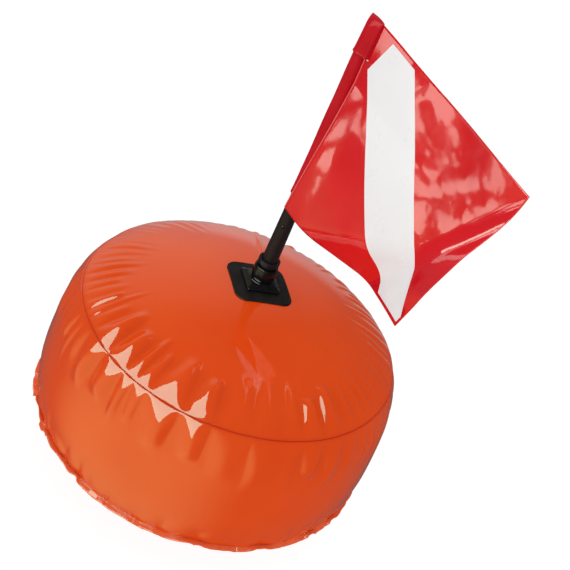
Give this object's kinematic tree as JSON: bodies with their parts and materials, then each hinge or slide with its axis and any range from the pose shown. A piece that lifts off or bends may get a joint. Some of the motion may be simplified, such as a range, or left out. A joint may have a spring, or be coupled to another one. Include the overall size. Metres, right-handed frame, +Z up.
{
  "type": "dive flag float",
  "caption": "Inflatable round float with a lift-out mast in a screwed socket, carrying a diver-down flag, with an inflation valve and a tow ring.",
  "frame": {"origin": "centre of the flat patch at the bottom of the float, on which it rests", "axes": "+Z up the mast, -Y towards the front of the float, and the valve and tow ring at the back"},
  "size_m": [0.3964, 0.4037, 0.5741],
  "materials": {
    "orange_film": "glossy",
    "patch_vinyl": "matt",
    "socket_black": "glossy",
    "mast_black": "satin",
    "flag_red": "glossy",
    "sleeve_red": "satin",
    "seal_rubber": "matt",
    "spring_steel": "satin",
    "valve_vinyl": "satin",
    "tab_strap": "matt"
  },
  "bodies": {
    "float": {"top_panel": "orange_film", "side_band": "orange_film", "bottom_panel": "orange_film", "mast_patch": "patch_vinyl", "mast_base": "socket_black", "socket_seal": "seal_rubber", "valve_body": "valve_vinyl", "tow_tab": "tab_strap"},
    "mast_stem": {"mast_plug": "mast_black", "mast_collar": "mast_black", "mast": "mast_black"},
    "nut_carrier": {"slip_washer": "valve_vinyl"},
    "nut": {"socket_nut": "socket_black"},
    "button": {"snap_button": "socket_black", "button_spring": "spring_steel"},
    "spinner": {"tip_cap": "mast_black"},
    "flag": {"flag_sheet": "flag_red", "flag_sleeve": "sleeve_red", "flag_top_pocket": "sleeve_red", "hoist_weld": "flag_red"},
    "plug": {"valve_plug": "valve_vinyl", "valve_tether": "valve_vinyl"},
    "flap": {"valve_flap": "orange_film"},
    "ring": {"tow_ring": "spring_steel"}
  },
  "joints": [
    {"name": "mast_lift", "type": "slide", "parent": "float", "child": "mast_stem", "axis": [0, 0, 1], "range_m": [0, 0.048]},
    {"name": "nut_rise", "type": "slide", "parent": "mast_stem", "child": "nut_carrier", "axis": [0, 0, 1], "range_m": [0, 0.003]},
    {"name": "nut_turn", "type": "hinge", "parent": "nut_carrier", "child": "nut", "pos_m": [0, 0, 0.2635], "axis": [0, 0, 1], "range_deg": [0, 720]},
    {"name": "button_press", "type": "slide", "parent": "mast_stem", "child": "button", "axis": [0.1736, 0.9848, 0], "range_m": [0, 0.002], "stiffness_N_per_m": 60, "springref_m": -0.002},
    {"name": "flag_spin", "type": "hinge", "parent": "mast_stem", "child": "spinner", "pos_m": [0, 0, 0.5616], "axis": [0, 0, 1], "continuous": true},
    {"name": "flag_slide", "type": "slide", "parent": "spinner", "child": "flag", "axis": [0, 0, 1], "range_m": [0, 0.2]},
    {"name": "plug_pull", "type": "slide", "parent": "float", "child": "plug", "axis": [-0.6069, 0.7909, 0.079], "range_m": [0, 0.01]},
    {"name": "flap_swing", "type": "hinge", "parent": "float", "child": "flap", "pos_m": [-0.11704, 0.15254, 0.1285], "axis": [-0.7934, -0.6088, 0], "range_deg": [0, 40], "stiffness_Nm_per_rad": 0.00005, "springref_deg": -5.73},
    {"name": "ring_swing", "type": "hinge", "parent": "float", "child": "ring", "pos_m": [0, 0.202, 0.05], "axis": [1, 0, 0], "range_deg": [-35, 120]}
  ],
  "couplings": [
    {"joint": "nut_rise", "follows": "nut_turn", "m_per_rad": 0.0002387}
  ]
}
